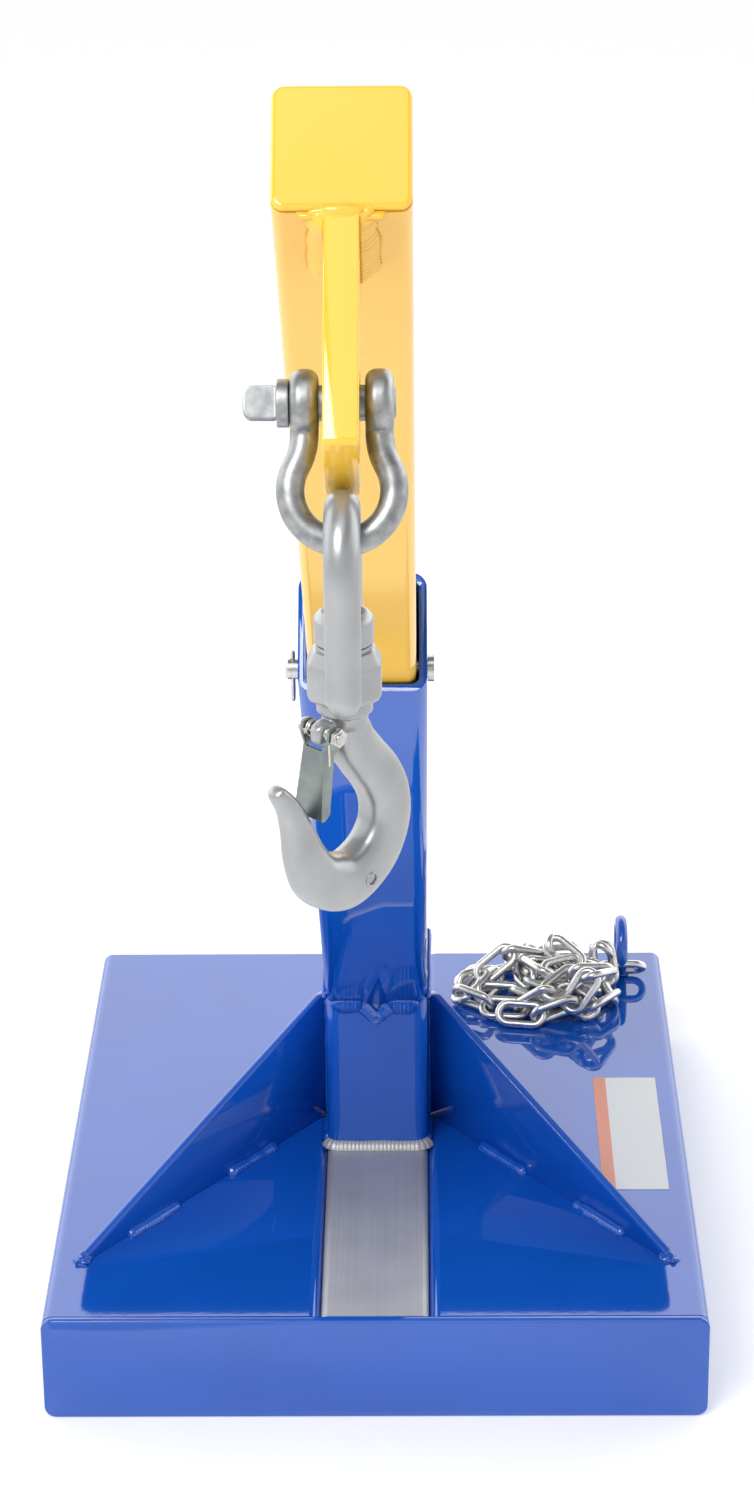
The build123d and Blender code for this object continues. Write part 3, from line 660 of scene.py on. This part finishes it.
# Each station: across, up, heading of the bar in degrees, depth in plane, thickness (mm).
stations = np.array([
    (0.0, -12.0, -88.0, 21.0, 20.6),
    (3.6, -22.0, -60.0, 22.0, 20.6),
    (11.0, -32.5, -51.0, 23.0, 20.2),
    (19.0, -43.0, -61.0, 24.0, 19.6),
    (24.3, -55.0, -78.0, 24.5, 19.4),
    (24.0, -69.0, -103.0, 25.5, 19.4),
    (15.0, -83.0, -139.0, 27.0, 20.0),
    (-2.0, -90.5, -176.0, 28.0, 20.4),
    (-19.0, -83.5, -224.0, 25.0, 19.4),
    (-27.0, -70.0, -250.0, 20.0, 17.0),
    (-31.5, -55.0, -252.0, 14.5, 14.0),
    (-36.3, -43.0, -241.0, 10.5, 11.6),
    (-42.6, -34.0, -230.0, 7.6, 9.4),
    (-44.6, -32.3, -228.0, 5.4, 7.0),
])


def smooth_rows(rows, count):
    """Catmull-Rom curve through rows of numbers: each span is the cubic whose slopes are half
    the difference of the neighbours."""
    padded = np.vstack([2 * rows[0] - rows[1], rows, 2 * rows[-1] - rows[-2]])
    place = np.linspace(0.0, len(rows) - 1.0, count)
    span = np.minimum(place.astype(int), len(rows) - 2)
    part = (place - span)[:, None]
    p0, p1, p2, p3 = (padded[span + shift] for shift in range(4))
    return p1 + 0.5 * part * (p2 - p0 + part * (2 * p0 - 5 * p1 + 4 * p2 - p3
                                                 + part * (3 * (p1 - p2) + p3 - p0)))


rows = smooth_rows(stations, 240)
heading = np.radians(rows[:, 2])
spine = hook_origin + (hook_across * rows[:, :1] + to_sky * rows[:, 1:2]) / 1000
outer = hook_across * -np.sin(heading)[:, None] + to_sky * np.cos(heading)[:, None]
section = np.linspace(0.0, 2.0 * np.pi, 64, endpoint=False)[None, :]
wide = np.sign(np.cos(section)) * np.abs(np.cos(section)) ** 0.72
deep = np.sign(np.sin(section)) * np.abs(np.sin(section)) ** 0.84
end_ease = np.sqrt(np.clip(1.0 - np.linspace(-7.0, 1.0, len(rows)).clip(0.0) ** 4, 0.04, 1.0))
half_thick = rows[:, 4:5] / 2000 * end_ease[:, None] * (1.0 - 0.10 * deep)
half_deep = rows[:, 3:4] / 2000 * end_ease[:, None]
hook_grid = (spine[:, None] + hook_side * (wide * half_thick)[..., None]
             + outer[:, None] * (deep * half_deep)[..., None])
hook_body = surface("hook_body_blank", hook_grid, True, True)
nut_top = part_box("shank_nut")[1].z
neck = [(-0.0190, 0.0095), (-0.0150, 0.0106), (-0.0078, 0.0106), (-0.0066, 0.0114), (-0.0060, 0.0128),
        (-0.0006, 0.0128), (-0.0003, 0.0120), (-0.0003, 0.0080), (nut_top - hub_bottom, 0.0080),
        (nut_top - hub_bottom + 0.0008, 0.0070)]
shank = lathed("shank", (0.0, swivel_y), np.array(neck) + [hub_bottom, 0.0])
pivot_across, pivot_up = -0.0145, -0.0125
pivot = hook_origin + hook_across * pivot_across + to_sky * pivot_up
polar = np.linspace(0.01, np.pi - 0.01, 30)[:, None]
turn = np.linspace(0.0, 2.0 * np.pi, 48, endpoint=False)[None, :]
ear_u = np.cos(polar) * np.ones_like(turn)
ear_w = np.sign(np.cos(turn)) * np.abs(np.cos(turn)) ** 0.5 * np.sin(polar) ** 0.5
ear_n = np.sign(np.sin(turn)) * np.abs(np.sin(turn)) ** 0.5 * np.sin(polar) ** 0.5
ear_grid = (pivot + hook_across * (0.0040 + 0.0092 * ear_u)[..., None]
            + to_sky * (-0.0008 + 0.0058 * ear_w)[..., None] + hook_side * (0.0044 * ear_n)[..., None])
ear = surface("ear", ear_grid, True, True)
forged("forged_hook", [hook_body, shank, ear], 0.0006, 4, silver, "hook_body", "silver_paint", "hook")

# A small raised ring is forged on the hook's face below the throat.
mark_radius = 0.0031
mark_middle = hook_origin + hook_across * 0.0060 + to_sky * -0.0895 + hook_side * 0.0103
around = np.linspace(0.0, 2.0 * np.pi, 48)
mark_path = mark_middle + mark_radius * (hook_across * np.cos(around)[:, None]
                                         + to_sky * np.sin(around)[:, None])
mark = bar("mark", mark_path, 0.0005, hook_side, 12)
joined("forging_mark", [mark], silver, "hook_body")

# ---- latch ----
# A channel folded from pale zinc-plated sheet turns on a riveted pin through the hook's ear.
# Two coils of spring wire press it against the point.
pale_zinc = plated("pale_zinc_sheet", (0.22, 0.25, 0.25), (0.29, 0.33, 0.32), 0.32, 90.0)
latch_heading = np.radians(-97.0)
latch_along = hook_across * np.cos(latch_heading) + to_sky * np.sin(latch_heading)
latch_in = np.cross(hook_side, latch_along)
latch_piece = forged("folded_latch", [nodes["latch"]], 0.00035, 2, pale_zinc, "latch_gate",
                     "latch_zinc", "latch")
points = np.empty(len(latch_piece.data.vertices) * 3)
latch_piece.data.vertices.foreach_get("co", points)
points = points.reshape(-1, 3)
offset = points - pivot
reach, depth, side = offset @ latch_along, offset @ latch_in, offset @ hook_side
near_web = np.clip((0.0010 - depth) / 0.0050, 0.0, 1.0)
near_top = np.clip((0.0400 - reach) / 0.0340, 0.0, 1.0)
narrow = 1.0 - 0.30 * near_web * near_top * np.clip((reach - 0.002) / 0.004, 0.0, 1.0)
points += hook_side * (side * (narrow - 1.0))[:, None]
latch_piece.data.vertices.foreach_set("co", points.ravel())
latch_piece.data.update()
softened("latch_rivet_pin", "latch_pin", 0.0004, zinc, "hook_body")
softened("latch_rivet_nut", "latch_nut", 0.0005, zinc, "hook_body")

coil_radius, coil_turns = 0.00335, 2.0
coil_start, coil_pitch, spring_wire = 0.0053, 0.0013, 0.0006
leg_length, leg_tilt = 0.0145, 0.148
coils, legs = [], []
for side in (-1.0, 1.0):
    turn = np.linspace(0.0, 2.0 * np.pi * coil_turns, 90)
    climb = coil_start + coil_pitch * turn / (2.0 * np.pi)
    helix = (pivot + hook_side * (side * climb)[:, None]
             - latch_in * (coil_radius * np.cos(turn))[:, None]
             - latch_along * (coil_radius * np.sin(turn))[:, None])
    coils.append(bar("coil", helix, spring_wire, hook_side, 12))
    start = pivot + hook_side * (side * climb[-1]) - latch_in * coil_radius
    way = latch_along * np.cos(leg_tilt) + latch_in * np.sin(leg_tilt)
    leg_path = start + way * np.linspace(0.0, leg_length, 12)[:, None]
    legs.append(bar("leg", leg_path, spring_wire, hook_side, 12))
coil_piece = joined("latch_spring_coils", coils, zinc, "hook_body")
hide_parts("latch_spring")
joined("latch_spring_legs", legs, zinc, "latch_gate")

# ---- safety chain ----
# Welded links of bright zinc-plated wire, dropped in a loose heap beside the ring that the
# first link hangs on.
chain_zinc = plated("chain_zinc", (0.58, 0.58, 0.57), (0.76, 0.76, 0.74), 0.30, 260.0)
link_wire, link_inner, link_outer_width = 0.0032, 0.030, 0.0230
link_pitch, link_count = 0.0285, 46
joint_room, middle_room = 0.0190, 0.0175
keep_motion, fall_step, push_share = 0.90, 0.00022, 0.25
heap_half = np.array([0.064, 0.046])
chance = np.random.default_rng(5)
ring_middle_z = (ring_low.z + ring_high.z) / 2
ring_bend = (ring_high.z - ring_low.z) / 2 - 0.00475
hang = np.array([ring_x, ring_y - ring_bend * 0.7071, ring_middle_z - ring_bend * 0.7071])

# The joints between links start on a loose rising spiral over the heap's place and drop.
# Each step moves them by their last motion and gravity, then six passes restore the pitch,
# push apart links that come too near, and hold them off the plate and inside the heap's edge.
turn = np.cumsum(np.full(link_count + 1, link_pitch)
                 / (0.040 + 0.020 * np.sin(np.arange(link_count + 1) * 0.9))) + 0.2
wide_turn = 0.046 + 0.016 * np.sin(np.arange(link_count + 1) * 0.37)
heap_middle = np.array([0.128, 0.198])
drop = np.column_stack([heap_middle[0] + 1.25 * wide_turn * np.cos(turn),
                        heap_middle[1] + wide_turn * np.sin(turn),
                        base_top + 0.014 + 0.0018 * np.arange(link_count + 1)])
hung = hang + np.array([[0.014, 0.0, 0.0], [-0.0145, 0.0, 0.0]])
drop[:2] = hung
drop[:, :2] += chance.normal(0.0, 0.004, (link_count + 1, 2)) * (np.arange(link_count + 1) > 1)[:, None]
pinned = np.arange(link_count + 1) < 2
before = drop.copy()
first, second = np.triu_indices(link_count + 1, 2)
one, two = np.triu_indices(link_count, 2)
rest_height = base_top + 0.0078
for step in range(260):
    motion = (drop - before) * keep_motion
    before = drop.copy()
    drop = drop + motion - to_sky * fall_step
    for sweep in range(6):
        for parity in (0, 1):
            near = np.arange(parity, link_count, 2)
            gap = drop[near + 1] - drop[near]
            size = np.linalg.norm(gap, axis=1, keepdims=True)
            fix = gap * (1.0 - link_pitch / size) * 0.5
            drop[near] += fix
            drop[near + 1] -= fix
        middles = (drop[1:] + drop[:-1]) / 2
        gap = drop[second] - drop[first]
        size = np.linalg.norm(gap, axis=1, keepdims=True)
        push = np.clip(joint_room - size, 0.0, None) * gap / np.maximum(size, 0.001) * push_share
        np.add.at(drop, second, push)
        np.add.at(drop, first, -push)
        gap = middles[two] - middles[one]
        size = np.linalg.norm(gap, axis=1, keepdims=True)
        push = np.clip(middle_room - size, 0.0, None) * gap / np.maximum(size, 0.001) * push_share
        for end in (0, 1):
            np.add.at(drop, two + end, push)
            np.add.at(drop, one + end, -push)
        drop[:, 2] = np.maximum(drop[:, 2], rest_height)
        away = drop[:, :2] - heap_middle
        spread = np.linalg.norm(away / heap_half, axis=1, keepdims=True)
        stray = np.clip(1.0 - 1.0 / np.maximum(spread, 0.001), 0.0, None)
        drop[:, :2] -= away * stray * ~pinned[:, None] * 0.3
        drop[:2] = hung

# One link: round wire round an oval of two straights and two half circles.
bend = link_outer_width / 2 - link_wire
straight = link_inner / 2 + link_wire - bend
half_turn = np.linspace(-np.pi / 2, np.pi / 2, 13)
oval = np.vstack([np.column_stack([straight + bend * np.cos(half_turn), bend * np.sin(half_turn)]),
                  np.column_stack([-straight - bend * np.cos(half_turn), -bend * np.sin(half_turn)])])
tangent = unit(np.roll(oval, -1, axis=0) - np.roll(oval, 1, axis=0))
outside = np.column_stack([tangent[:, 1], -tangent[:, 0]])
wire_turn = np.linspace(0.0, 2.0 * np.pi, 12, endpoint=False)[None, :, None]
oval = np.column_stack([oval, np.zeros(len(oval))])
outside = np.column_stack([outside, np.zeros(len(oval))])
link_grid = oval[:, None] + link_wire * (outside[:, None] * np.cos(wire_turn)
                                         + np.array([0.0, 0.0, 1.0]) * np.sin(wire_turn))
link_points = np.vstack([link_grid, link_grid[:1]])
links_made = []
roll_angle = np.pi / 4
for number in range(link_count):
    along = unit(drop[number + 1] - drop[number])
    flat = unit(np.cross(to_sky, along))
    rise = np.cross(along, flat)
    angle = roll_angle + np.pi / 2 * number + (chance.uniform(-0.45, 0.45) if number else 0.0)
    wide_way = flat * np.cos(angle) + rise * np.sin(angle)
    thin_way = np.cross(along, wide_way)
    turned_link = (link_points[..., :1] * along + link_points[..., 1:2] * wide_way
                   + link_points[..., 2:] * thin_way)
    place = (drop[number] + drop[number + 1]) / 2
    lowest = turned_link[..., 2].min() + place[2] - base_top
    place = place + to_sky * max(0.0, 0.0003 - lowest)
    links_made.append(surface("link", turned_link + place, True))
heap = joined("safety_chain_links", links_made, chain_zinc, "base_frame")
weld_rows = heap.modifiers.new("close", "WELD")
weld_rows.merge_threshold = 0.00001
settle(heap)
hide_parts("safety_chain")

# ---- label ----
# A printed vinyl film with a warm header band and a plain pale panel.
film, tree_nodes, links, shader = new_finish("label_film")
label_low, label_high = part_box("label_sticker")
coordinate = tree_nodes.new("ShaderNodeTexCoord")
split = tree_nodes.new("ShaderNodeSeparateXYZ")
links.new(coordinate.outputs["Object"], split.inputs["Vector"])
crosswise = tree_nodes.new("ShaderNodeMapRange")
crosswise.inputs["From Min"].default_value = label_low.x
crosswise.inputs["From Max"].default_value = label_high.x
links.new(split.outputs["X"], crosswise.inputs["Value"])
band = ramp(tree_nodes, links, crosswise.outputs["Result"],
            [(0.0, (0.70, 0.25, 0.16)), (0.195, (0.70, 0.25, 0.16)), (0.200, (0.65, 0.67, 0.68)),
             (1.0, (0.65, 0.67, 0.68))])
links.new(band, shader.inputs["Base Color"])
shader.inputs["Roughness"].default_value = 0.35
wear(nodes["label_sticker"], film)
